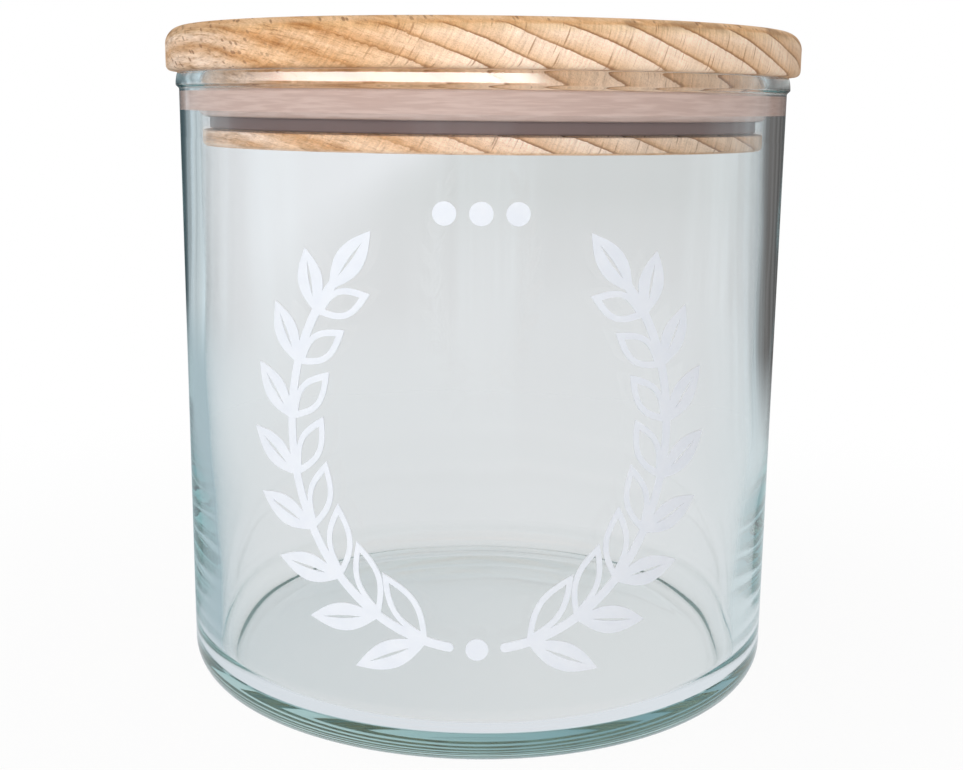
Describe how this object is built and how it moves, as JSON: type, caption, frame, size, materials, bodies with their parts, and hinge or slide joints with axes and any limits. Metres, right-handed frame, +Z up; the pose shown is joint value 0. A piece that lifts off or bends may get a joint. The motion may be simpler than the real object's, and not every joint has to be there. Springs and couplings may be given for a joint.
{
  "type": "glass canister",
  "caption": "Round clear-glass canister with a thick base, a turned wooden plug lid sealed by a silicone ring, and a white leafy wreath on the front.",
  "frame": {"origin": "centre of the face that the jar stands on, on the jar's axis", "axes": "+Z up along the jar's axis towards the lid, -Y towards the decorated front, +X to the right of someone looking at the front"},
  "size_m": [0.1194, 0.1194, 0.124],
  "materials": {
    "clear_glass": "clear, smooth, faintly blue-green where it is thick",
    "beech": "sanded, lightly oiled",
    "silicone": "translucent, satin",
    "white_film": "matt white film"
  },
  "bodies": {
    "jar": {"glass_jar": "clear_glass", "right_branch": "white_film", "left_branch": "white_film", "upper_berry_1": "white_film", "upper_berry_2": "white_film", "upper_berry_3": "white_film", "lower_berry": "white_film"},
    "seal": {"seal_ring": "silicone"},
    "lid": {"wooden_lid": "beech"}
  },
  "joints": [
    {"name": "lid_lift", "type": "slide", "parent": "jar", "child": "seal", "axis": [0, 0, 1], "range_m": [0, 0.06]},
    {"name": "lid_turn", "type": "hinge", "parent": "seal", "child": "lid", "pos_m": [0, 0, 0.1161], "axis": [0, 0, 1], "continuous": true}
  ]
}
